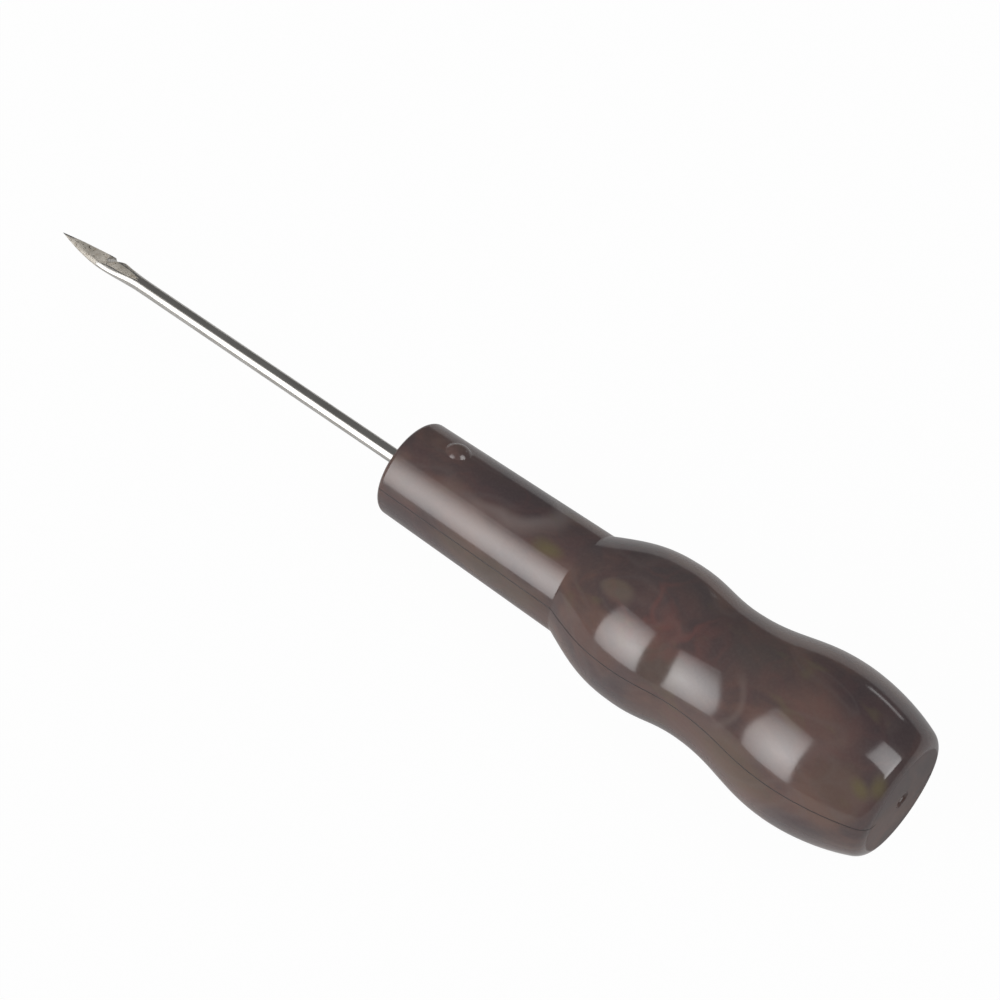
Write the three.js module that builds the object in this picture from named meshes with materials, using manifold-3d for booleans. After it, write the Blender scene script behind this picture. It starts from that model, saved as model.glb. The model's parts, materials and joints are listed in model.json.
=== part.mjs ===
// Hook awl: a barbed steel needle moulded into a one-piece plastic handle.
// Millimetres, +Z up, lying as it rests on a bench: tip towards -X, butt towards +X.

import * as THREE from 'three';
import { mergeVertices } from 'three/addons/utils/BufferGeometryUtils.js';
import Module from 'manifold-3d';

const wasm = await Module();
wasm.setup();

// Handle, from its front rim to its butt. Each length runs on from the one before it.
const FRONT_RADIUS = 7.25;
const FRONT_EDGE = 0.8;
const FRONT_CROWN = 0.6;
const MOUTH_LAND = 0.4;
const FRONT_LENGTH = 31;
const NECK_RADIUS = 7.65;
const NECK_ANGLE = THREE.MathUtils.degToRad(24);
const NECK_TO_BULGE = 12.7;
const BULGE_RADIUS = 10.85;
const BULGE_TO_WAIST = 9.7;
const WAIST_RADIUS = 9.8;
const WAIST_TO_SWELL = 15.8;
const SWELL_RADIUS = 12;
const SWELL_TO_EDGE = 11.9;
const EDGE_RADIUS = 9.5;
const EDGE_ANGLE = THREE.MathUtils.degToRad(24);
const EDGE_LENGTH = 1.6;
const BUTT_FLAT_RADIUS = 7.1;

// How far each curve of the handle's outline keeps its end slopes, as a share of its length.
const BULGE_PULL = 0.4;
const SWELL_PULL = 0.42;
const EDGE_PULL = 0.31;

// Moulding marks: the gate's dimple in the butt, and a pip in the middle of one mould half.
const GATE_RADIUS = 1.3;
const GATE_FLOOR_RADIUS = 1.04;
const GATE_DEPTH = 0.35;
const PIP_FROM_RIM = 7;
const PIP_RADIUS = 1.8;
const PIP_HEIGHT = 0.7;
const PIP_ROOT = 0.6;

// Needle: a round rod with a flattened, ground and slotted head, and a flattened anchor inside.
const ROD_RADIUS = 1.075;
const NEEDLE_EXPOSED = 68.1;
const NEEDLE_EMBEDDED = 38;
const ANCHOR_LENGTH = 9;
const ANCHOR_WIDTH = 3.4;
const ANCHOR_THICKNESS = 1.3;
const ANCHOR_BLEND = 4;
const POCKET_CLEARANCE = 0.3;

// Head, measured back from the tip.
const HEAD_LENGTH = 17;
const HEAD_WIDEST_AT = 8.6;
const HEAD_HALF_WIDTH = 1.52;
const HEAD_FULL_AT = 4.9;
const HEAD_FULL_HALF_WIDTH = 1.41;
const HEAD_PULL = 0.4;
const HEAD_HALF_THICKNESS = 0.8;
const TIP_RADIUS = 0.05;
const FLAT_HALF_THICKNESS = 0.62;
const FLAT_RUN_OUT = 15.4;
const TIP_BEVEL_LENGTH = 4;
const TIP_BEVEL_HALF_THICKNESS = 0.5;
const TIP_HALF_THICKNESS = 0.02;

// Barb and thread slot, in the plane of the blade: along the head, then out from its middle.
const UPPER_EDGE_AT_TIP = -0.05;
const UPPER_EDGE_SLOPE = THREE.MathUtils.degToRad(6.3);
const SLOT_WIDTH = 0.78;
const SLOT_ANGLE = THREE.MathUtils.degToRad(33);
const SLOT_END_FROM_TIP = 9.6;
const SLOT_END_HEIGHT = 0.25;
const HEEL_HEIGHT = 1.37;
const HEEL_BACK = 1.4;
const HEEL_DROP = 0.3;
const SHANK_MARGIN = 0.02;

// How the pieces are turned about the awl's axis as it lies: positive turns the top away from -Y.
const MOULD_TURN = THREE.MathUtils.degToRad(22);
const BLADE_TURN = THREE.MathUtils.degToRad(-4);

// Mesh fineness.
const HANDLE_SIDES = 36;
const ROD_SIDES = 32;
const PIP_SIDES = 24;
const CURVE_STEPS = 8;
const PIP_STEPS = 5;
const SLOT_END_STEPS = 8;
const MERGE_DISTANCE = 1e-4;

// A cubic curve follows a quarter circle when its handles reach this share of the radius.
const QUARTER_ROUND = 0.5523;

const bulgeAt = FRONT_LENGTH + NECK_TO_BULGE;
const waistAt = bulgeAt + BULGE_TO_WAIST;
const swellAt = waistAt + WAIST_TO_SWELL;
const edgeAt = swellAt + SWELL_TO_EDGE;
const handleLength = edgeAt + EDGE_LENGTH;

// The two swellings carry the awl on a bench, so its axis leans by their difference in height.
const restLean = Math.atan2(SWELL_RADIUS - BULGE_RADIUS, swellAt - bulgeAt);

// Turns a closed geometry into a solid that can be joined and cut.
function toSolid(geometry) {
  const bare = geometry.clone();
  bare.deleteAttribute('normal');
  bare.deleteAttribute('uv');
  const merged = mergeVertices(bare, MERGE_DISTANCE);
  const triVerts = [];
  for (let i = 0; i < merged.index.count; i += 3) {
    const corner = [0, 1, 2].map((k) => merged.index.getX(i + k));
    if (new Set(corner).size === 3) triVerts.push(...corner);
  }
  const vertProperties = Float32Array.from(merged.attributes.position.array);
  const mesh = new wasm.Mesh({ numProp: 3, vertProperties, triVerts: Uint32Array.from(triVerts) });
  return new wasm.Manifold(mesh);
}

function toGeometry(solid) {
  const mesh = solid.getMesh();
  const geometry = new THREE.BufferGeometry();
  geometry.setAttribute('position', new THREE.BufferAttribute(mesh.vertProperties, 3));
  geometry.setIndex(new THREE.BufferAttribute(mesh.triVerts, 1));
  const flat = geometry.toNonIndexed();
  flat.computeVertexNormals();
  return flat;
}

// Revolves a path, drawn as distance along X against radius, about the X axis.
function revolve(points, sides) {
  const profile = points.map((point) => new THREE.Vector2(Math.max(point.y, 0), point.x));
  const geometry = new THREE.LatheGeometry(profile, sides, Math.PI / sides);
  return geometry.rotateZ(-Math.PI / 2);
}

function sampled(path, steps) {
  return path.curves.flatMap((curve, i) => {
    const count = curve.isLineCurve ? 1 : steps;
    const points = curve.getPoints(count);
    return i === 0 ? points : points.slice(1);
  });
}

// Adds a curve that leaves at one slope and arrives at another, each given as an angle.
function flowTo(path, x, r, leaving, arriving, pull) {
  const from = path.currentPoint.clone();
  const reach = (x - from.x) * pull;
  path.bezierCurveTo(
    from.x + reach, from.y + reach * Math.tan(leaving),
    x - reach, r - reach * Math.tan(arriving),
    x, r,
  );
}

// Rod radius, head and anchor in one profile from the tip to the embedded end.
const tipX = -NEEDLE_EXPOSED;
const anchorEndX = NEEDLE_EMBEDDED;
const anchorX = anchorEndX - ANCHOR_LENGTH;

function easeBetween(x, from, to) {
  return THREE.MathUtils.smootherstep(x, from, to);
}

// Flattens the round anchor stretch of a revolved shank, kept larger by a margin for its pocket.
function pressAnchor(geometry, margin) {
  const position = geometry.attributes.position;
  const wide = (ANCHOR_WIDTH / 2 + margin) / (ROD_RADIUS + margin);
  const thin = (ANCHOR_THICKNESS / 2 + margin) / (ROD_RADIUS + margin);
  for (let i = 0; i < position.count; i += 1) {
    const amount = easeBetween(position.getX(i), anchorX - ANCHOR_BLEND, anchorX);
    position.setY(i, position.getY(i) * THREE.MathUtils.lerp(1, wide, amount));
    position.setZ(i, position.getZ(i) * THREE.MathUtils.lerp(1, thin, amount));
  }
  return geometry;
}

// Presses the round head flat: thinner through the blade, with its width left as revolved.
function pressHead(geometry) {
  const position = geometry.attributes.position;
  const thin = HEAD_HALF_THICKNESS / HEAD_HALF_WIDTH;
  for (let i = 0; i < position.count; i += 1) {
    const fromTip = position.getX(i) - tipX;
    const amount = 1 - easeBetween(fromTip, HEAD_WIDEST_AT, HEAD_LENGTH);
    position.setZ(i, position.getZ(i) * THREE.MathUtils.lerp(1, thin, amount));
  }
  return geometry;
}

function shankStations() {
  const blendX = anchorX - ANCHOR_BLEND;
  const steps = [0.25, 0.5, 0.75];
  return [blendX, ...steps.map((share) => blendX + share * ANCHOR_BLEND), anchorX];
}

function needleBlank() {
  const outline = new THREE.Path();
  outline.moveTo(tipX, 0);
  outline.lineTo(tipX, TIP_RADIUS);
  outline.quadraticCurveTo(
    tipX + HEAD_FULL_AT, HEAD_FULL_HALF_WIDTH,
    tipX + HEAD_WIDEST_AT, HEAD_HALF_WIDTH,
  );
  flowTo(outline, tipX + HEAD_LENGTH, ROD_RADIUS, 0, 0, HEAD_PULL);
  shankStations().forEach((x) => outline.lineTo(x, ROD_RADIUS));
  outline.lineTo(anchorEndX, ROD_RADIUS);
  outline.lineTo(anchorEndX, 0);
  return pressHead(pressAnchor(revolve(sampled(outline, CURVE_STEPS), ROD_SIDES), 0));
}

// A flat cutter: an outline in the XY plane of the blade, thick enough to pass through the head.
function bladeCutter(shape, depth) {
  const geometry = new THREE.ExtrudeGeometry(shape, {
    depth,
    bevelEnabled: false,
    curveSegments: SLOT_END_STEPS,
  });
  return geometry.translate(0, 0, -depth / 2);
}

// Everything above the blade's upper edge, with the slot that runs in behind the barb.
function slotAndEdgeCutter() {
  const clear = 2 * HEAD_HALF_WIDTH;
  const along = new THREE.Vector2(Math.cos(SLOT_ANGLE), Math.sin(SLOT_ANGLE));
  const across = new THREE.Vector2(-along.y, along.x).multiplyScalar(SLOT_WIDTH / 2);
  const end = new THREE.Vector2(tipX + SLOT_END_FROM_TIP, SLOT_END_HEIGHT);
  const slotTop = end.clone().add(across);
  const slotFoot = end.clone().sub(across);
  const rise = Math.tan(UPPER_EDGE_SLOPE);
  const edgeOverTop = UPPER_EDGE_AT_TIP + rise * (slotTop.x - tipX);
  const barb = slotTop.clone().addScaledVector(along, (edgeOverTop - slotTop.y) / (along.y - rise * along.x));
  const heel = slotFoot.clone().addScaledVector(along, (HEEL_HEIGHT - slotFoot.y) / along.y);

  const shape = new THREE.Shape();
  shape.moveTo(tipX - clear, UPPER_EDGE_AT_TIP - rise * clear);
  shape.lineTo(barb.x, barb.y);
  shape.lineTo(slotTop.x, slotTop.y);
  shape.absarc(end.x, end.y, SLOT_WIDTH / 2, SLOT_ANGLE + Math.PI / 2, SLOT_ANGLE + 1.5 * Math.PI);
  shape.lineTo(heel.x, heel.y);
  shape.lineTo(heel.x + HEEL_BACK, heel.y - HEEL_DROP);
  shape.lineTo(tipX + HEAD_LENGTH, ROD_RADIUS + SHANK_MARGIN);
  shape.lineTo(tipX + HEAD_LENGTH, clear);
  shape.lineTo(tipX - clear, clear);
  return bladeCutter(shape, 4 * HEAD_HALF_WIDTH);
}

// What is ground off one face: a flat that thins to the tip and runs out on the round rod.
function flatCutter() {
  const clear = 2 * HEAD_HALF_WIDTH;
  const shape = new THREE.Shape();
  shape.moveTo(tipX - clear, TIP_HALF_THICKNESS);
  shape.lineTo(tipX, TIP_HALF_THICKNESS);
  shape.lineTo(tipX + TIP_BEVEL_LENGTH, TIP_BEVEL_HALF_THICKNESS);
  shape.lineTo(tipX + HEAD_WIDEST_AT, FLAT_HALF_THICKNESS);
  shape.lineTo(tipX + FLAT_RUN_OUT, ROD_RADIUS);
  shape.lineTo(tipX + FLAT_RUN_OUT, clear);
  shape.lineTo(tipX - clear, clear);
  return bladeCutter(shape, 4 * HEAD_HALF_WIDTH).rotateX(Math.PI / 2);
}

function needleGeometry() {
  const flat = flatCutter();
  const needle = toSolid(needleBlank())
    .subtract(toSolid(slotAndEdgeCutter()))
    .subtract(toSolid(flat))
    .subtract(toSolid(flat.clone().rotateX(Math.PI)));
  return toGeometry(needle);
}

// The pocket that the moulded plastic leaves round the embedded shank.
function pocketGeometry() {
  const radius = ROD_RADIUS + POCKET_CLEARANCE;
  const outline = new THREE.Path();
  outline.moveTo(-FRONT_CROWN - radius, 0);
  outline.lineTo(-FRONT_CROWN - radius, radius);
  shankStations().forEach((x) => outline.lineTo(x, radius));
  outline.lineTo(anchorEndX + POCKET_CLEARANCE, radius);
  outline.lineTo(anchorEndX + POCKET_CLEARANCE, 0);
  return pressAnchor(revolve(sampled(outline, CURVE_STEPS), ROD_SIDES), POCKET_CLEARANCE);
}

// The handle's turned shape: crowned front, plain neck, two swellings and a flat butt.
function handleProfile() {
  const frontReach = QUARTER_ROUND * FRONT_EDGE;
  const edgeReach = QUARTER_ROUND * EDGE_LENGTH;
  const outline = new THREE.Path();
  outline.moveTo(-FRONT_CROWN, 0);
  outline.lineTo(-FRONT_CROWN, ROD_RADIUS + POCKET_CLEARANCE + MOUTH_LAND);
  outline.lineTo(0, FRONT_RADIUS - FRONT_EDGE);
  outline.bezierCurveTo(
    0, FRONT_RADIUS - FRONT_EDGE + frontReach,
    FRONT_EDGE - frontReach, FRONT_RADIUS,
    FRONT_EDGE, FRONT_RADIUS,
  );
  outline.lineTo(FRONT_LENGTH, NECK_RADIUS);
  flowTo(outline, bulgeAt, BULGE_RADIUS, NECK_ANGLE, 0, BULGE_PULL);
  flowTo(outline, waistAt, WAIST_RADIUS, 0, 0, SWELL_PULL);
  flowTo(outline, swellAt, SWELL_RADIUS, 0, 0, SWELL_PULL);
  flowTo(outline, edgeAt, EDGE_RADIUS, 0, -EDGE_ANGLE, EDGE_PULL);
  outline.bezierCurveTo(
    edgeAt + edgeReach, EDGE_RADIUS - edgeReach * Math.tan(EDGE_ANGLE),
    handleLength, (BUTT_FLAT_RADIUS + EDGE_RADIUS) / 2,
    handleLength, BUTT_FLAT_RADIUS,
  );
  outline.lineTo(handleLength, GATE_RADIUS);
  outline.lineTo(handleLength - GATE_DEPTH, GATE_FLOOR_RADIUS);
  outline.lineTo(handleLength - GATE_DEPTH, 0);
  return sampled(outline, CURVE_STEPS);
}

// The surface radius of the plain front stretch, which tapers from the rim to the neck.
function frontRadiusAt(x) {
  return THREE.MathUtils.mapLinear(x, FRONT_EDGE, FRONT_LENGTH, FRONT_RADIUS, NECK_RADIUS);
}

// A shallow domed pip, sunk a little into the handle's surface so that the two join.
function pipGeometry() {
  const height = PIP_HEIGHT + PIP_ROOT;
  const sphereRadius = (PIP_RADIUS * PIP_RADIUS + PIP_HEIGHT * PIP_HEIGHT) / (2 * PIP_HEIGHT);
  const spread = Math.asin(Math.min(1, PIP_RADIUS / sphereRadius));
  const dome = new THREE.Path();
  dome.moveTo(0, 0);
  dome.lineTo(PIP_RADIUS, 0);
  dome.lineTo(PIP_RADIUS, PIP_ROOT);
  dome.absarc(0, height - sphereRadius, sphereRadius, Math.PI / 2 - spread, Math.PI / 2, false);
  const points = sampled(dome, PIP_STEPS).map((p) => new THREE.Vector2(Math.max(p.x, 0), p.y));
  const geometry = new THREE.LatheGeometry(points, PIP_SIDES);
  geometry.rotateX(Math.PI / 2);
  return geometry.translate(PIP_FROM_RIM, 0, frontRadiusAt(PIP_FROM_RIM) - PIP_ROOT);
}

// The body's facets touch the round outline from outside, and are set square to the bench,
// whichever way the mould halves are turned.
function handleGeometry() {
  const facetReach = 1 / Math.cos(Math.PI / HANDLE_SIDES);
  const turned = revolve(handleProfile(), HANDLE_SIDES).scale(1, facetReach, facetReach);
  const body = toSolid(turned.rotateX(MOULD_TURN)).add(toSolid(pipGeometry()));
  const pocket = toSolid(pocketGeometry().rotateX(MOULD_TURN - BLADE_TURN));
  return toGeometry(body.subtract(pocket));
}

const handle = new THREE.Mesh(
  handleGeometry(),
  new THREE.MeshStandardMaterial({ color: 0x4b403d, roughness: 0.18, metalness: 0 }),
);
handle.name = 'handle';
handle.rotation.x = -MOULD_TURN;

const needle = new THREE.Mesh(
  needleGeometry(),
  new THREE.MeshStandardMaterial({ color: 0xb9b2a8, roughness: 0.28, metalness: 1 }),
);
needle.name = 'hook_needle';
needle.rotation.x = -BLADE_TURN;

const awl = new THREE.Group();
awl.add(handle, needle);
awl.rotation.y = -restLean;

// Sets the awl down: the origin is under the middle of its box, at bench height.
awl.updateMatrixWorld(true);
const box = new THREE.Box3().setFromObject(awl, true);
const middle = box.getCenter(new THREE.Vector3());
const hookAwl = new THREE.Group();
awl.position.set(-middle.x, -middle.y, -box.min.z);
hookAwl.add(awl);

export default hookAwl;
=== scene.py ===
import json
import math

import bmesh
import bpy
from mathutils import Matrix, Vector


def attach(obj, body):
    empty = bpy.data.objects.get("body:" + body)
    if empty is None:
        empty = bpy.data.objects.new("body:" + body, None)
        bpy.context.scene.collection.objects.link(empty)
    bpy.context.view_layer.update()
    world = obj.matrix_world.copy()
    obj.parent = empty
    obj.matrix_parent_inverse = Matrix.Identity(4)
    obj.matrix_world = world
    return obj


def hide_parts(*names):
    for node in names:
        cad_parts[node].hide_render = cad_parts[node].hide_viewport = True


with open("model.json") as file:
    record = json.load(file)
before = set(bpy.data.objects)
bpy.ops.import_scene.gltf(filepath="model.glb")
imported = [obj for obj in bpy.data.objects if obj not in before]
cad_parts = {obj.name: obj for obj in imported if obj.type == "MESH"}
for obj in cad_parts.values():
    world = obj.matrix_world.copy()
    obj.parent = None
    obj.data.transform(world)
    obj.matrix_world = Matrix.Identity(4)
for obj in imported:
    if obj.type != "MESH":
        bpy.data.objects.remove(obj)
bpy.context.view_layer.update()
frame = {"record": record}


# Hook needle: one length of hard steel wire, 2.15 mm thick. The outer end is pressed flat, ground
# on both faces and slotted into a barbed hook, and the rod is drawn and polished bright. The inner
# end is pressed flat too, so that the plastic moulded round it lets it neither turn nor slip.

# Both pieces are drawn in millimetres round the X axis, with X counted from the handle's front rim,
# and then laid down in the awl's place. The mount on the butt tells where the butt is.
MILLIMETRE = 0.001
BUTT_AT = 82.7
MOUNT_RISE = 5
butt = next(mount for mount in frame["record"]["mounts"] if mount["name"] == "butt")
axis = Vector(butt["axis"])
above = Vector((-axis.z, 0, axis.x))
stance = Matrix((axis, (0, 1, 0), above)).transposed()
rim = Vector(butt["pos_m"]) - MOUNT_RISE * MILLIMETRE * above - BUTT_AT * MILLIMETRE * axis

TIP_AT = -68.1
TIP_RADIUS = 0.05
ROD_RADIUS = 1.075
SHANK_END = 38
ANCHOR_AT = 29
ANCHOR_BLEND = 4
ANCHOR_HALF_WIDTH = 1.7
ANCHOR_HALF_THICKNESS = 0.65
HEAD_LENGTH = 17
HEAD_FULL_AT = 4.9
HEAD_FULL_HALF_WIDTH = 1.41
HEAD_WIDEST_AT = 8.6
HEAD_HALF_WIDTH = 1.52
HEAD_HALF_THICKNESS = 0.8
EDGE_START = -0.05
EDGE_SLOPE = math.tan(math.radians(6.3))
SLOT_END = Vector((TIP_AT + 9.6, 0.25))
SLOT_HALF_WIDTH = 0.39
SLOT_ANGLE = math.radians(33)
HEEL_HEIGHT = 1.37
HEEL_FALL = Vector((1.4, -0.3))
POINT_LENGTH = 4
POINT_HALF_THICKNESS = 0.5
TIP_HALF_THICKNESS = 0.02
GROUND_HALF_THICKNESS = 0.62
GROUND_LENGTH = 15.4
GROUND_EDGE_LENGTH = 14
GROUND_ROOT_LENGTH = 8.3
STONED_WIDTH = 0.035
BLADE_TURN = math.radians(-4)

# How far a cut or a choice reaches past the form that it is for, and how close two points are one.
OUTSIDE = 3
CUTTER_REACH = 4
NEEDLE_WITHIN = 2.5
BEYOND = 0.1
CLEAR = 0.02
SAME_POINT = 0.0005
SAME_RING = 0.0002


def only(piece):
    """Makes a piece the one that is selected and active."""
    bpy.ops.object.select_all(action="DESELECT")
    piece.select_set(True)
    bpy.context.view_layer.objects.active = piece


def pick(piece, parts, test):
    """In edit mode, selects only those verts, edges or faces of a mesh that pass a test."""
    bpy.ops.mesh.select_all(action="DESELECT")
    mesh = bmesh.from_edit_mesh(piece.data)
    bpy.context.tool_settings.mesh_select_mode = [
        parts == kind for kind in ("verts", "edges", "faces")
    ]
    for part in getattr(mesh, parts):
        part.select_set(test(part))
    bmesh.update_edit_mesh(piece.data)


def turned(name, knots, steps, fineness):
    """Turns an outline of knots round the X axis into a closed skin. A knot is a place with the
    handles of the curves before and after it, and where it has none the outline runs straight."""
    bpy.ops.object.select_all(action="DESELECT")
    bpy.ops.curve.primitive_bezier_curve_add(location=(0, 0, 0))
    outline = bpy.context.object
    outline.data.resolution_u = fineness
    spline = outline.data.splines[0]
    spline.bezier_points.add(len(knots) - 2)
    for point, (place, before, after) in zip(spline.bezier_points, knots):
        point.co = (*place, 0)
        point.handle_left_type = "FREE" if before else "VECTOR"
        point.handle_right_type = "FREE" if after else "VECTOR"
        point.handle_left, point.handle_right = (*(before or place), 0), (*(after or place), 0)
    bpy.ops.object.convert(target="MESH")
    piece = bpy.context.object
    piece.name = piece.data.name = name
    bpy.ops.object.mode_set(mode="EDIT")
    bpy.ops.mesh.select_all(action="SELECT")
    bpy.ops.mesh.spin(steps=steps, angle=math.tau, center=(0, 0, 0), axis=(1, 0, 0))
    bpy.ops.mesh.select_all(action="SELECT")
    bpy.ops.mesh.remove_doubles(threshold=SAME_POINT)
    bpy.ops.mesh.normals_make_consistent(inside=False)
    bpy.ops.object.mode_set(mode="OBJECT")
    return piece


def corner(x, r):
    """A knot at which straight stretches meet."""
    return (x, r), None, None


def flow(knots, x, r, leaving, arriving, pull):
    """Adds a knot to which the outline flows, leaving the last one and arriving at given angles."""
    (x0, r0), before, _ = knots[-1]
    reach = (x - x0) * pull
    knots[-1] = (x0, r0), before, (x0 + reach, r0 + reach * math.tan(leaving))
    knots.append(((x, r), (x - reach, r - reach * math.tan(arriving)), None))


def bow(knots, x, r, full_x, full_r):
    """Adds a knot to which the outline bows out, drawn all the way towards one place."""
    (x0, r0), before, _ = knots[-1]
    knots[-1] = (x0, r0), before, (x0 + (full_x - x0) * 2 / 3, r0 + (full_r - r0) * 2 / 3)
    knots.append(((x, r), (x + (full_x - x) * 2 / 3, r + (full_r - r) * 2 / 3), None))


def press(piece, low, high, shares):
    """Squeezes each ring of a turned piece between two places by that place's shares of width and
    thickness. The handle's outer skin is too far from the axis to be squeezed with its pocket."""
    only(piece)
    rings = {round(vertex.co.x, 4) for vertex in piece.data.vertices if low < vertex.co.x < high}
    bpy.ops.object.mode_set(mode="EDIT")
    for x in sorted(rings):
        pick(piece, "verts", lambda vert: (
            abs(vert.co.x - x) < SAME_RING and math.hypot(vert.co.y, vert.co.z) < NEEDLE_WITHIN
        ))
        wide, thin = shares(x)
        bpy.ops.transform.resize(value=(1, wide, thin), center_override=(x, 0, 0))
    bpy.ops.object.mode_set(mode="OBJECT")


def ease(x, start, end):
    """Runs from 0 to 1 between two places, with no kink at either."""
    t = min(1, max(0, (x - start) / (end - start)))
    return t * t * t * (t * (6 * t - 15) + 10)


def anchor_shares(radius):
    """How the anchor, or the pocket that it leaves in the plastic, is squeezed out of the round."""
    room = radius - ROD_RADIUS

    def shares(x):
        amount = ease(x, ANCHOR_AT - ANCHOR_BLEND, ANCHOR_AT)
        wide = (ANCHOR_HALF_WIDTH + room) / radius
        thin = (ANCHOR_HALF_THICKNESS + room) / radius
        return 1 + amount * (wide - 1), 1 + amount * (thin - 1)

    return shares


def head_shares(x):
    """How the head is squeezed: flat up to its widest place, and less and less towards the rod."""
    amount = 1 - ease(x, TIP_AT + HEAD_WIDEST_AT, TIP_AT + HEAD_LENGTH)
    return 1, 1 - (1 - HEAD_HALF_THICKNESS / HEAD_HALF_WIDTH) * amount


def edge_height(x):
    """The height of the blade's upper edge, which rises from the tip to the barb."""
    return EDGE_START + EDGE_SLOPE * (x - TIP_AT)


def cut_away(piece, outline, turn):
    """Cuts all that lies inside an outline in the XY plane, turned about X, out of a piece."""
    bpy.ops.object.select_all(action="DESELECT")
    bpy.ops.mesh.primitive_circle_add(
        vertices=len(outline), radius=1, fill_type="NGON", location=(0, 0, 0)
    )
    cutter = bpy.context.object
    for vertex, (x, y) in zip(cutter.data.vertices, outline):
        vertex.co = (x, y, -CUTTER_REACH)
    bpy.ops.object.mode_set(mode="EDIT")
    bpy.ops.mesh.select_all(action="SELECT")
    bpy.ops.mesh.extrude_region_move(
        TRANSFORM_OT_translate={"value": (0, 0, 2 * CUTTER_REACH)}
    )
    bpy.ops.mesh.select_all(action="SELECT")
    bpy.ops.mesh.normals_make_consistent(inside=False)
    bpy.ops.object.mode_set(mode="OBJECT")
    cutter.rotation_euler.x = turn
    bpy.context.view_layer.update()
    only(piece)
    cut = piece.modifiers.new("cut", "BOOLEAN")
    cut.operation, cut.solver, cut.object = "DIFFERENCE", "EXACT", cutter
    bpy.ops.object.modifier_apply(modifier="cut")
    bpy.data.objects.remove(cutter)


def lay_down(piece, turn):
    """Sets a drawn piece in its place in the awl as it lies on the bench, in metres, for good."""
    only(piece)
    piece.matrix_world = (
        Matrix.Translation(rim) @ stance.to_4x4()
        @ Matrix.Rotation(-turn, 4, "X") @ Matrix.Scale(MILLIMETRE, 4)
    )
    bpy.ops.object.transform_apply(location=True, rotation=True, scale=True)


# The head bows out from the point to its widest place, and then eases down to the rod.
knots = [corner(TIP_AT, 0), corner(TIP_AT, TIP_RADIUS)]
bow(
    knots, TIP_AT + HEAD_WIDEST_AT, HEAD_HALF_WIDTH,
    full_x=TIP_AT + HEAD_FULL_AT, full_r=HEAD_FULL_HALF_WIDTH,
)
flow(knots, TIP_AT + HEAD_LENGTH, ROD_RADIUS, leaving=0, arriving=0, pull=0.4)
knots += [
    corner(ANCHOR_AT - ANCHOR_BLEND, ROD_RADIUS),
    corner(ANCHOR_AT, ROD_RADIUS),
    corner(SHANK_END, ROD_RADIUS),
    corner(SHANK_END, 0),
]
needle = turned("hook_needle_steel", knots, steps=64, fineness=16)
press(needle, ANCHOR_AT - ANCHOR_BLEND, SHANK_END + BEYOND, anchor_shares(ROD_RADIUS))
press(needle, TIP_AT - BEYOND, TIP_AT + HEAD_LENGTH, head_shares)

# The slot opens behind the barb, and the metal above the blade's upper edge is ground away with it.
along = Vector((math.cos(SLOT_ANGLE), math.sin(SLOT_ANGLE)))
across = Vector((-along.y, along.x)) * SLOT_HALF_WIDTH
barb_run = (edge_height(SLOT_END.x + across.x) - SLOT_END.y - across.y) / (
    along.y - EDGE_SLOPE * along.x
)
heel = SLOT_END - across + along * (HEEL_HEIGHT - SLOT_END.y + across.y) / along.y
slot_round = [
    SLOT_END + Matrix.Rotation(math.radians(turn), 2) @ across for turn in range(0, 181, 15)
]
cut_away(
    needle,
    [
        (TIP_AT - OUTSIDE, edge_height(TIP_AT - OUTSIDE)),
        SLOT_END + across + along * barb_run,
        *slot_round,
        heel,
        heel + HEEL_FALL,
        (TIP_AT + HEAD_LENGTH, ROD_RADIUS + CLEAR),
        (TIP_AT + HEAD_LENGTH, OUTSIDE),
        (TIP_AT - OUTSIDE, OUTSIDE),
    ],
    turn=0,
)

# Both faces are ground: a bevel to the point, a thin blade, and flats that run out on the rod.
for side in (1, -1):
    cut_away(
        needle,
        [
            (TIP_AT - OUTSIDE, side * TIP_HALF_THICKNESS),
            (TIP_AT, side * TIP_HALF_THICKNESS),
            (TIP_AT + POINT_LENGTH, side * POINT_HALF_THICKNESS),
            (TIP_AT + HEAD_WIDEST_AT, side * GROUND_HALF_THICKNESS),
            (TIP_AT + GROUND_LENGTH, side * ROD_RADIUS),
            (TIP_AT + GROUND_LENGTH, side * OUTSIDE),
            (TIP_AT - OUTSIDE, side * OUTSIDE),
        ],
        turn=math.pi / 2,
    )

# The edges are stoned. Some faces at the point are so small that the bevel's clamp leaves it almost
# no width, and it does no more than soften how the edges shade.
only(needle)
stoned = needle.modifiers.new("stoned edges", "BEVEL")
stoned.width, stoned.segments, stoned.angle_limit = STONED_WIDTH, 2, math.radians(28)
bpy.ops.object.modifier_apply(modifier="stoned edges")


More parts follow.
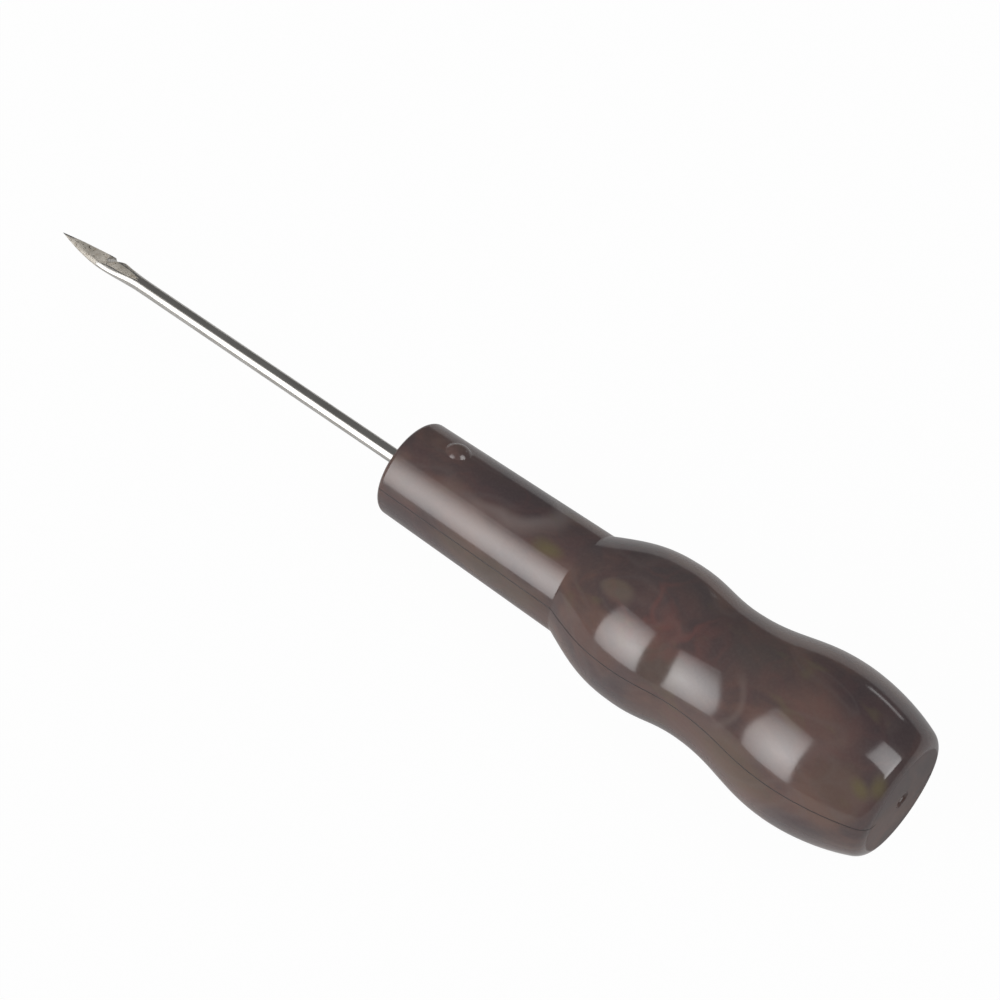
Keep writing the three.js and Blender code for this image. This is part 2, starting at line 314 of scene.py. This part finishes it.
class Wire:
    """An output of a shader node. Sums and products of wires and numbers add their Math nodes."""

    def __init__(self, tree, socket=None):
        self.tree = tree
        self.socket = socket

    def node(self, kind, settings=None, sockets=None, output=0):
        """Adds a node, makes its settings, fills or links its sockets, and gives an output."""
        made = self.tree.nodes.new("ShaderNode" + kind)
        for name, value in (settings or {}).items():
            if name == "stops":
                stops = made.color_ramp.elements
                while len(stops) < len(value):
                    stops.new(1)
                for stop, (place, colour) in zip(stops, value):
                    stop.position, stop.color = place, colour
            else:
                setattr(made, name, value)
        for name, value in (sockets or {}).items():
            if isinstance(value, Wire):
                self.tree.links.new(value.socket, made.inputs[name])
            else:
                made.inputs[name].default_value = value
        return Wire(self.tree, made.outputs[output] if made.outputs else None)

    def outlet(self, name):
        """Another output of the same node."""
        return Wire(self.tree, self.socket.node.outputs[name])

    def maths(self, operation, *values):
        return self.node("Math", {"operation": operation}, dict(enumerate(values)))

    def vector(self, operation, *values):
        return self.node("VectorMath", {"operation": operation}, dict(enumerate(values)))

    def __add__(self, other):
        return self.maths("ADD", self, other)

    def __radd__(self, other):
        return self.maths("ADD", other, self)

    def __sub__(self, other):
        return self.maths("SUBTRACT", self, other)

    def __rsub__(self, other):
        return self.maths("SUBTRACT", other, self)

    def __mul__(self, other):
        return self.maths("MULTIPLY", self, other)

    def __rmul__(self, other):
        return self.maths("MULTIPLY", other, self)

    def between(self, low, high):
        """Eases from 0 at one value to 1 at another, which may be the lower."""
        return self.node(
            "MapRange", {"interpolation_type": "SMOOTHSTEP"},
            {"Value": self, "From Min": low, "From Max": high},
        )

    def line(self, level, width):
        """Is 1 where a value crosses a level, and eases to 0 on both sides of it."""
        away = self - level
        return away.maths("ABSOLUTE", away).between(width, 0)

    def tint(self, bare, full):
        """Runs from one colour to another as this value goes from 0 to 1."""
        return self.node("Mix", {"data_type": "RGBA"}, {0: self, 6: bare, 7: full}, output=2)

    def mix(self, amount, other):
        """Lays another colour over this one by an amount from 0 to 1."""
        return self.node("Mix", {"data_type": "RGBA"}, {0: amount, 6: self, 7: other}, output=2)

    def bump(self, strength, depth):
        """Raises and sinks the surface by this value, as deep as so many millimetres."""
        return self.node(
            "Bump", {}, {"Strength": strength, "Distance": depth * MILLIMETRE, "Height": self}
        )

    def apart(self):
        """The three parts of a place: along the piece, sideways and upwards."""
        lengthwise = self.node("SeparateXYZ", {}, {0: self})
        return lengthwise, lengthwise.outlet("Y"), lengthwise.outlet("Z")

    def packed(self, x, y, z):
        """Packs a pattern closer along each axis by a factor, or draws it out by one under 1."""
        return self.vector("MULTIPLY", self, (x, y, z))

    def noise(self, scale, detail=2.0, roughness=0.5, distortion=0.0, output=0):
        return self.node("TexNoise", {}, {
            "Vector": self, "Scale": scale, "Detail": detail,
            "Roughness": roughness, "Distortion": distortion,
        }, output)

    def stirred(self, scale, reach):
        """Moves a pattern's places about by soft noise, as flow draws out a marbling."""
        drift = self.noise(scale, detail=1, output="Color")
        drift = self.vector("SUBTRACT", drift, (0.5, 0.5, 0.5))
        return self.vector("MULTIPLY_ADD", drift, (reach,) * 3, self)

    def from_blot(self, centre, size):
        """Is 0 at a centre, 1 on an oval of a given size about it, and more outside."""
        inside = self.node(
            "Mapping", {"vector_type": "TEXTURE"},
            {"Vector": self, "Location": centre, "Scale": size},
        )
        return inside.node("VectorMath", {"operation": "LENGTH"}, {0: inside}, output="Value")


def finish(name, turn):
    """Starts a finish: gives its material, its shader, and its pattern's place, which is counted in
    millimetres as the piece was drawn."""
    material = bpy.data.materials.new(name)
    material.use_nodes = True
    tree = material.node_tree
    place = Wire(tree).node("TexCoord", output="Object")
    lie = stance @ Matrix.Rotation(-turn, 3, "X")
    place = place.node(
        "Mapping", {"vector_type": "TEXTURE"},
        {"Vector": place, "Location": rim, "Rotation": lie.to_euler(), "Scale": (MILLIMETRE,) * 3},
    )
    return material, tree.nodes["Principled BSDF"], place


def feed(shader, sockets):
    """Fills or links the sockets of a finish's shader."""
    for name, value in sockets.items():
        if isinstance(value, Wire):
            value.tree.links.new(value.socket, shader.inputs[name])
        else:
            shader.inputs[name].default_value = value


# The rod is bright, with fine marks along it from drawing and a few duller smears.
BRIGHT_STEEL = (0.66, 0.64, 0.61, 1)
SMEARED_STEEL = (0.53, 0.51, 0.48, 1)

polished, shader, place = finish("polished drawn steel", BLADE_TURN)
draw_marks = place.packed(0.05, 6.0, 6.0).noise(scale=1.6, detail=3, roughness=0.6)
smears = place.packed(0.18, 0.7, 0.7).noise(scale=1.0, detail=3, roughness=0.55)
feed(shader, {
    "Metallic": 1.0,
    "Base Color": smears.between(0.3, 0.75).tint(BRIGHT_STEEL, SMEARED_STEEL),
    "Roughness": 0.13 + 0.10 * smears + 0.06 * draw_marks,
    "Normal": draw_marks.bump(strength=0.12, depth=0.02),
})

# The ground head is dull and uneven, with pits and a little rust. Its upper edge by the point is
# painted darker and more metallic, as painted shade on the narrow facet there.
GROUND_STEEL = (0.56, 0.52, 0.46, 1)
DULL_STEEL = (0.40, 0.37, 0.32, 1)
RUST = (0.30, 0.24, 0.17, 1)
PIT_BLACK = (0.04, 0.035, 0.03, 1)
EDGE_PAINTED_SHADE = (0.10, 0.10, 0.10, 1)

ground, shader, place = finish("ground steel", BLADE_TURN)
grain = place.packed(1.2, 3.0, 3.0).noise(scale=3.2, detail=5, roughness=0.7)
blotches = place.noise(scale=0.9, detail=4, roughness=0.6)
pits = place.noise(scale=2.6, detail=1).between(0.66, 0.71)
rust = place.noise(scale=1.4, detail=3).between(0.52, 0.68) * 0.45
lengthwise, sideways, _ = place.apart()
# Painted shade: a band along the blade's upper edge by the point is painted dark grey.
by_point = lengthwise.between(TIP_AT + 3.2, TIP_AT + 1.6)
painted_edge_shade = (sideways - edge_height(lengthwise)).between(-0.3, -0.07) * by_point
colour = blotches.between(0.35, 0.7).tint(GROUND_STEEL, DULL_STEEL)
feed(shader, {
    "Metallic": 0.35 + 0.3 * painted_edge_shade,
    "Base Color": colour.mix(rust, RUST).mix(pits, PIT_BLACK).mix(painted_edge_shade, EDGE_PAINTED_SHADE),
    "Roughness": 0.4 + 0.22 * grain + 0.2 * pits,
    "Normal": (grain * 0.5 - pits * 1.4).bump(strength=0.3, depth=0.04),
})


def ground_length(face):
    """How far from the tip the grinding reaches: along the flats, the upper edge, or elsewhere."""
    if abs(face.normal.z) > 0.985:
        return GROUND_LENGTH + BEYOND
    return GROUND_EDGE_LENGTH if face.normal.y > 0.5 else GROUND_ROOT_LENGTH


only(needle)
needle.data.materials.append(polished)
needle.data.materials.append(ground)
bpy.ops.object.mode_set(mode="EDIT")
pick(needle, "faces", lambda face: (
    face.calc_center_median().x < TIP_AT + ground_length(face)
))
needle.active_material_index = 1
bpy.ops.object.material_slot_assign()
bpy.ops.object.mode_set(mode="OBJECT")
bpy.ops.object.shade_smooth_by_angle(angle=math.radians(25))
lay_down(needle, BLADE_TURN)
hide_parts("hook_needle")
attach(needle, "root")


# Handle: one injection moulding of glossy marbled plastic, shot round the needle's shank through a
# gate in the butt. It has a crowned front, a plain tapered grip for the fingers, two swellings and
# a flat butt. The mould leaves a fine line along both sides, and a pip on top near the front.

FRONT_RADIUS = 7.25
FRONT_EDGE = 0.8
FRONT_CROWN = 0.6
BORE_RADIUS = ROD_RADIUS + CLEAR
MOUTH_CHAMFER = 0.15
MOUTH_RADIUS = 1.8
TAPER_ANGLE = math.radians(0.8)
NECK_AT = 31
NECK_RADIUS = 7.65
NECK_ANGLE = math.radians(24)
NECK_ROUND = 0.3
BULGE_AT = 43.7
BULGE_RADIUS = 10.85
WAIST_AT = 53.4
WAIST_RADIUS = 9.8
SWELL_AT = 69.2
SWELL_RADIUS = 12
EDGE_AT = 81.1
EDGE_RADIUS = 9.5
EDGE_ANGLE = math.radians(-24)
BUTT_RADIUS = 7.1
GATE_RADIUS = 1.3
GATE_FLOOR_RADIUS = 1.04
GATE_DEPTH = 0.35
STUB_RADIUS = 0.5
STUB_TOP_RADIUS = 0.38
STUB_TOP_DEPTH = 0.16
STUB_MIDDLE_DEPTH = 0.2
PIP_AT = 7
PIP_RADIUS = 1.8
PIP_HEIGHT = 0.7
PIP_FULLNESS = 3
PIP_ROOT = 0.0015
PIP_REACH = 3
PIP_RINGS = 8
TOP_SKIN = 5
SEAM_HALF_WIDTH = 0.07
SEAM_DEPTH = 0.05
SIDE_SKIN = 6.6
MOULD_TURN = math.radians(22)
QUARTER_ROUND = 0.5523


def front_radius(x):
    """The outer radius along the plain front, which tapers from the neck to the rim."""
    return FRONT_RADIUS + (NECK_RADIUS - FRONT_RADIUS) * (x - FRONT_EDGE) / (NECK_AT - FRONT_EDGE)


# The outline runs from the pocket's end out of the mouth, over the rounded rim and along the grip,
# where rings are set close for the pip, over both swellings, and in to the stub in the gate's mark.
front_reach = QUARTER_ROUND * FRONT_EDGE
knots = [
    corner(SHANK_END + CLEAR, 0),
    corner(SHANK_END + CLEAR, BORE_RADIUS),
    corner(ANCHOR_AT, BORE_RADIUS),
    corner(ANCHOR_AT - ANCHOR_BLEND, BORE_RADIUS),
    corner(MOUTH_CHAMFER - FRONT_CROWN, BORE_RADIUS),
    corner(-FRONT_CROWN, BORE_RADIUS + MOUTH_CHAMFER),
    corner(-FRONT_CROWN, MOUTH_RADIUS),
    ((0, FRONT_RADIUS - FRONT_EDGE), None, (0, FRONT_RADIUS - FRONT_EDGE + front_reach)),
    ((FRONT_EDGE, FRONT_RADIUS), (FRONT_EDGE - front_reach, FRONT_RADIUS), None),
]
for step in range(-PIP_RINGS, PIP_RINGS + 1):
    x = PIP_AT + PIP_REACH * step / PIP_RINGS
    knots.append(corner(x, front_radius(x)))
knots.append(corner(NECK_AT - NECK_ROUND, front_radius(NECK_AT - NECK_ROUND)))
flow(
    knots, NECK_AT + NECK_ROUND, NECK_RADIUS + NECK_ROUND * math.tan(NECK_ANGLE),
    leaving=TAPER_ANGLE, arriving=NECK_ANGLE, pull=0.45,
)
flow(knots, BULGE_AT, BULGE_RADIUS, leaving=NECK_ANGLE, arriving=0, pull=0.4)
flow(knots, WAIST_AT, WAIST_RADIUS, leaving=0, arriving=0, pull=0.42)
flow(knots, SWELL_AT, SWELL_RADIUS, leaving=0, arriving=0, pull=0.42)
flow(knots, EDGE_AT, EDGE_RADIUS, leaving=0, arriving=EDGE_ANGLE, pull=0.31)
edge_reach = QUARTER_ROUND * (BUTT_AT - EDGE_AT)
knots[-1] = *knots[-1][:2], (
    EDGE_AT + edge_reach, EDGE_RADIUS + edge_reach * math.tan(EDGE_ANGLE)
)
knots += [
    ((BUTT_AT, BUTT_RADIUS), (BUTT_AT, (BUTT_RADIUS + EDGE_RADIUS) / 2), None),
    corner(BUTT_AT, GATE_RADIUS),
    corner(BUTT_AT - GATE_DEPTH, GATE_FLOOR_RADIUS),
    corner(BUTT_AT - GATE_DEPTH, STUB_RADIUS),
    corner(BUTT_AT - STUB_TOP_DEPTH, STUB_TOP_RADIUS),
    corner(BUTT_AT - STUB_MIDDLE_DEPTH, 0),
]
handle = turned("handle_marbled_plastic", knots, steps=180, fineness=16)
press(handle, ANCHOR_AT - ANCHOR_BLEND, SHANK_END + BEYOND, anchor_shares(BORE_RADIUS))

# The pip: the skin on top is made finer there and raised into a low, full dome with a soft root.
only(handle)
bpy.ops.object.mode_set(mode="EDIT")
pick(handle, "faces", lambda face: (
    face.calc_center_median().z > TOP_SKIN
    and (face.calc_center_median().xy - Vector((PIP_AT, 0))).length < PIP_REACH - BEYOND
))
bpy.ops.mesh.subdivide(number_cuts=1)
mesh = bmesh.from_edit_mesh(handle.data)
for vert in mesh.verts:
    x, y, z = vert.co
    if z > TOP_SKIN and abs(x - PIP_AT) < PIP_REACH - CLEAR and abs(y) < PIP_REACH:
        around = math.atan2(y, z)
        away = math.hypot(x - PIP_AT, front_radius(x) * around)
        dome = PIP_HEIGHT * (1 - (away / PIP_RADIUS) ** PIP_FULLNESS)
        radius = front_radius(x) + (dome + math.sqrt(dome * dome + PIP_ROOT)) / 2
        vert.co = (x, radius * math.sin(around), radius * math.cos(around))
bmesh.update_edit_mesh(handle.data)


def on_parting(vert):
    """Tells the points of the skin's sides at which the halves of the mould met."""
    return abs(vert.co.z) < SAME_POINT and abs(vert.co.y) > SIDE_SKIN


# The parting line: a fine groove along both sides.
pick(handle, "edges", lambda edge: all(on_parting(vert) for vert in edge.verts))
bpy.ops.mesh.bevel(offset=SEAM_HALF_WIDTH, segments=2, affect="EDGES")
pick(handle, "verts", lambda vert: on_parting(vert) and BEYOND < vert.co.x < BUTT_AT - BEYOND)
inwards = 1 - SEAM_DEPTH / BULGE_RADIUS
bpy.ops.transform.resize(value=(1, inwards, 1), center_override=(0, 0, 0))
bpy.ops.object.mode_set(mode="OBJECT")
bpy.ops.object.shade_smooth_by_angle(angle=math.radians(20))

# The marbling: plum and brown drawn out by the flow, with smoke, red veins and olive spots in it.
RED_BLUSH = (0.136, 0.063, 0.054, 1)
VEIN_RED = (0.148, 0.064, 0.057, 1)
SMOKE = (0.135, 0.113, 0.108, 1)
PALE_SMOKE = (0.176, 0.146, 0.141, 1)
WARM_SMOKE = (0.166, 0.130, 0.118, 1)
OLIVE = (0.120, 0.100, 0.050, 1)
OLIVE_BROWN = (0.118, 0.096, 0.058, 1)
DUSTY_BROWN = (0.145, 0.118, 0.110, 1)
SEAM_PAINTED_SHADE = (0.022, 0.016, 0.015, 1)

marbled, shader, place = finish("marbled glossy plastic", MOULD_TURN)
lengthwise, sideways, height = place.apart()
drawn = place.packed(0.6, 1.0, 1.0)
flowing = drawn.stirred(scale=0.09, reach=14)
folded = place.stirred(scale=0.13, reach=3.2)
clouds = flowing.noise(scale=0.12, detail=4, roughness=0.55)
colour = clouds.node("ValToRGB", {"stops": [
    (0.34, (0.064, 0.045, 0.046, 1)),
    (0.46, (0.080, 0.055, 0.053, 1)),
    (0.56, (0.105, 0.066, 0.058, 1)),
    (0.68, (0.132, 0.080, 0.067, 1)),
]}, {"Fac": clouds})


def blot(x, lean, radius, length, width):
    """Is 0 at a place on the handle, given by its angle from the top, 1 on an oval about it, and
    more outside. The marbling's folds bend the oval."""
    lean = math.radians(lean) - MOULD_TURN
    centre = (x, radius * math.sin(lean), radius * math.cos(lean))
    return folded.from_blot(centre, (length, width, width))


# Plum lies on top of the grip and both swellings, warmer brown on their near side, and an olive
# cast on the front of the bulge and low down.
for x, lean, radius, length, width, tone, amount in (
    (15.5, 18, 7.5, 8.6, 4.6, (0.061, 0.044, 0.047, 1), 0.8),
    (30.0, 8, 7.8, 4.0, 4.0, (0.066, 0.048, 0.051, 1), 0.6),
    (45.0, 14, 10.9, 8.0, 4.5, (0.069, 0.055, 0.057, 1), 0.7),
    (59.0, 6, 10.6, 5.0, 4.0, (0.070, 0.058, 0.055, 1), 0.6),
    (76.0, 14, 11.8, 7.5, 6.0, (0.059, 0.042, 0.045, 1), 0.85),
    (49.0, -46, 10.4, 5.0, 4.0, (0.104, 0.075, 0.057, 1), 0.5),
    (72.0, -16, 12.0, 6.5, 5.0, (0.126, 0.075, 0.065, 1), 0.5),
    (77.0, -52, 11.5, 5.0, 5.0, (0.128, 0.082, 0.063, 1), 0.6),
    (38.5, -17, 10.3, 2.6, 1.7, (0.138, 0.106, 0.080, 1), 0.6),
    (20.0, -78, 7.4, 11.0, 3.0, (0.118, 0.088, 0.064, 1), 0.5),
    (64.0, -74, 11.2, 9.0, 3.5, (0.128, 0.087, 0.058, 1), 0.55),
):
    cover = blot(x, lean, radius, length, width).between(1.15, 0.55)
    colour = colour.mix(cover * amount, tone)

# Red veins run all over, closest on the bulge, where the plastic blushes between them.
veiny = blot(46.5, -16, 10.8, 7.5, 5.0).between(1.35, 0.4)
veins = place.stirred(scale=0.3, reach=2.0).noise(scale=0.17, distortion=0.4).line(0.5, 0.1)
colour = colour.mix(veiny * clouds.between(0.3, 0.6) * 0.4, RED_BLUSH)
colour = colour.mix(veins * (0.12 + 0.45 * veiny), VEIN_RED)
smoke = flowing.noise(scale=0.15, detail=1).line(0.55, 0.07)
colour = colour.mix(smoke * 0.14, SMOKE)

# A pale wisp curls round the plum blot on the grip, and another lies by the waist.
oval = blot(15.5, 18, 7.5, 8.6, 4.6)
curl = oval.between(0.8, 1.06) * oval.between(1.42, 1.06) * lengthwise.between(6, 20)
colour = colour.mix(curl * 0.55, PALE_SMOKE)
curl = blot(58.3, -38, 10.4, 3.0, 3.6).line(1.0, 0.3) * lengthwise.between(58, 60.5)
colour = colour.mix(curl * 0.35, WARM_SMOKE)

# Olive spots lie by the butt and on the grip, and fainter ones and a dusty mottling all over.
for x, lean, radius, length, width in (
    (79.7, -37, 10.5, 1.9, 0.9),
    (81.3, -27, 9.3, 1.3, 1.3),
    (26.5, -16, 7.6, 1.8, 1.0),
):
    cover = blot(x, lean, radius, length, width).between(1.5, 0.2)
    colour = colour.mix(cover * 0.75, OLIVE)
faint = drawn.stirred(scale=0.2, reach=4).noise(scale=0.3).between(0.6, 0.78)
colour = colour.mix(faint * 0.4, OLIVE_BROWN)
mottling = place.noise(scale=2.6, detail=3, roughness=0.6).between(0.35, 0.75)
colour = colour.mix(mottling * 0.1, DUSTY_BROWN)

# The parting line's groove is painted dark, as painted shade, and made rough; fingers dull the
# front, and the butt's flat is left matt.
# Painted shade: the parting line's groove is painted near black.
on_side = sideways.maths("ABSOLUTE", sideways).between(6.3, 6.8)
in_seam = height.line(0, SEAM_HALF_WIDTH * 2.4) * on_side
matt = lengthwise.between(BUTT_AT - 0.12, BUTT_AT - 0.04)
worn = lengthwise.between(26, 0)
uneven = place.noise(scale=0.4, detail=3, roughness=0.6)
feed(shader, {
    "IOR": 1.55,
    "Base Color": colour.mix(in_seam * 0.85, SEAM_PAINTED_SHADE),
    "Roughness": 0.08 + 0.05 * uneven + 0.05 * worn + 0.4 * matt + 0.6 * in_seam,
    "Normal": place.noise(scale=0.16).bump(strength=0.3, depth=0.06),
})
handle.data.materials.append(marbled)
lay_down(handle, MOULD_TURN)
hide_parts("handle")
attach(handle, "root")


# Bench: a plain white sheet on which the awl lies. It is matt, shows as white to the eye and in the
# polished steel, and keeps the awl's soft shadow.

PAPER = (0.64, 0.64, 0.64, 1)
SHOWN_TO_EYE = 0.975
SHOWN_IN_STEEL = 0.12

bpy.ops.object.select_all(action="DESELECT")
bpy.ops.mesh.primitive_plane_add(size=8, location=(0, 0, 0))
bench = bpy.context.object
bench.name = "bench"
white = bpy.data.materials.new("white bench")
white.use_nodes = True
tree = white.node_tree
tree.nodes.clear()
seen = Wire(tree).node("LightPath", output="Is Camera Ray")
mirrored = seen.maths("MAXIMUM", seen.outlet("Is Glossy Ray"), seen.outlet("Is Transmission Ray"))
shown = seen.maths("MAXIMUM", seen * SHOWN_TO_EYE, mirrored * SHOWN_IN_STEEL)
paper = seen.node("BsdfDiffuse", {}, {"Color": PAPER})
glow = seen.node("Emission", {}, {"Color": (1, 1, 1, 1), "Strength": 1.0})
sheet = seen.node("MixShader", {}, {0: shown, 1: paper, 2: glow})
seen.node("OutputMaterial", {}, {"Surface": sheet})
bench.data.materials.append(white)


# Studio: a tall softbox with a grid stands on the near side towards the tip, a panel with a grid
# hangs over the butt, and a thin strip lies low behind. The room is dim.

LAMP_AWAY = 2.0
ROOM_LIGHT = 0.16
grip = rim + 40 * MILLIMETRE * axis


def panel(name, over, along, radiance, aim=None, reach=None):
    """Hangs a flat lamp that spans two angles over the awl, counted from straight up towards the
    far side, and two angles along it, towards the butt. It faces the grip from its aim, where it is
    as bright as its radiance. A grid thins it out from there to nothing at its reach. All angles
    are in degrees."""
    turn, lean = (math.radians(angle) for angle in aim or (sum(over) / 2, sum(along) / 2))
    outward = Vector((
        math.sin(lean), math.cos(lean) * math.sin(turn), math.cos(lean) * math.cos(turn)
    ))
    upright = Vector((0, math.cos(turn), -math.sin(turn)))
    sideways = upright.cross(outward)
    left, right = (LAMP_AWAY * math.tan(math.radians(edge) - lean) for edge in along)
    low, high = (
        LAMP_AWAY * math.cos(lean) * math.tan(math.radians(edge) - turn) for edge in over
    )
    middle = LAMP_AWAY * outward + (left + right) / 2 * sideways + (low + high) / 2 * upright
    bpy.ops.object.select_all(action="DESELECT")
    bpy.ops.object.light_add(type="AREA", location=grip + middle)
    lamp = bpy.context.object
    lamp.name = name
    lamp.rotation_euler = Matrix((sideways, upright, outward)).transposed().to_euler()
    lamp.data.shape = "RECTANGLE"
    lamp.data.size, lamp.data.size_y = right - left, high - low
    lamp.data.energy = radiance * math.pi * lamp.data.size * lamp.data.size_y
    if reach:
        lamp.data.spread = math.radians(2 * reach)
        lamp.data.energy *= 1 - math.radians(reach) / math.tan(math.radians(reach))
    lamp.visible_camera = False


panel("softbox", over=(-92, -22), along=(-38, -5), radiance=1.0)
panel("softbox grid", over=(-92, -23), along=(-37, -5), radiance=6.2, aim=(-62, -14), reach=37)
panel("panel over the butt", over=(-10, 38), along=(19, 50), radiance=6.0, aim=(12, 46), reach=45)
panel("strip behind", over=(78, 82), along=(-5, 9), radiance=1.9)

room = bpy.context.scene.world or bpy.data.worlds.new("room")
bpy.context.scene.world = room
room.use_nodes = True
tree = room.node_tree
tree.nodes.clear()
air = Wire(tree).node("Background", {}, {"Color": (1, 1, 1, 1), "Strength": ROOM_LIGHT})
air.node("OutputWorld", {}, {"Surface": air})


# Camera: it looks down on the awl from the butt's side, at the photograph's angle and distance, and
# its long lens gives the photograph's frame.

AZIMUTH = math.radians(39.95)
ELEVATION = math.radians(57.19)
AIM_FROM_RIM = Vector((13.908, 2.819, 2.05))
CAMERA_AWAY = 368.49

aim = rim + MILLIMETRE * AIM_FROM_RIM
towards = Vector((
    math.sin(AZIMUTH) * math.cos(ELEVATION),
    -math.cos(AZIMUTH) * math.cos(ELEVATION),
    math.sin(ELEVATION),
))
bpy.ops.object.select_all(action="DESELECT")
bpy.ops.object.camera_add(
    location=aim + CAMERA_AWAY * MILLIMETRE * towards,
    rotation=(math.pi / 2 - ELEVATION, 0, AZIMUTH),
)
camera = bpy.context.object
camera.data.lens = 97.35
camera.data.sensor_width = 36
camera.data.clip_start = 0.01
bpy.context.scene.camera = camera
bpy.context.scene.view_settings.view_transform = "Standard"
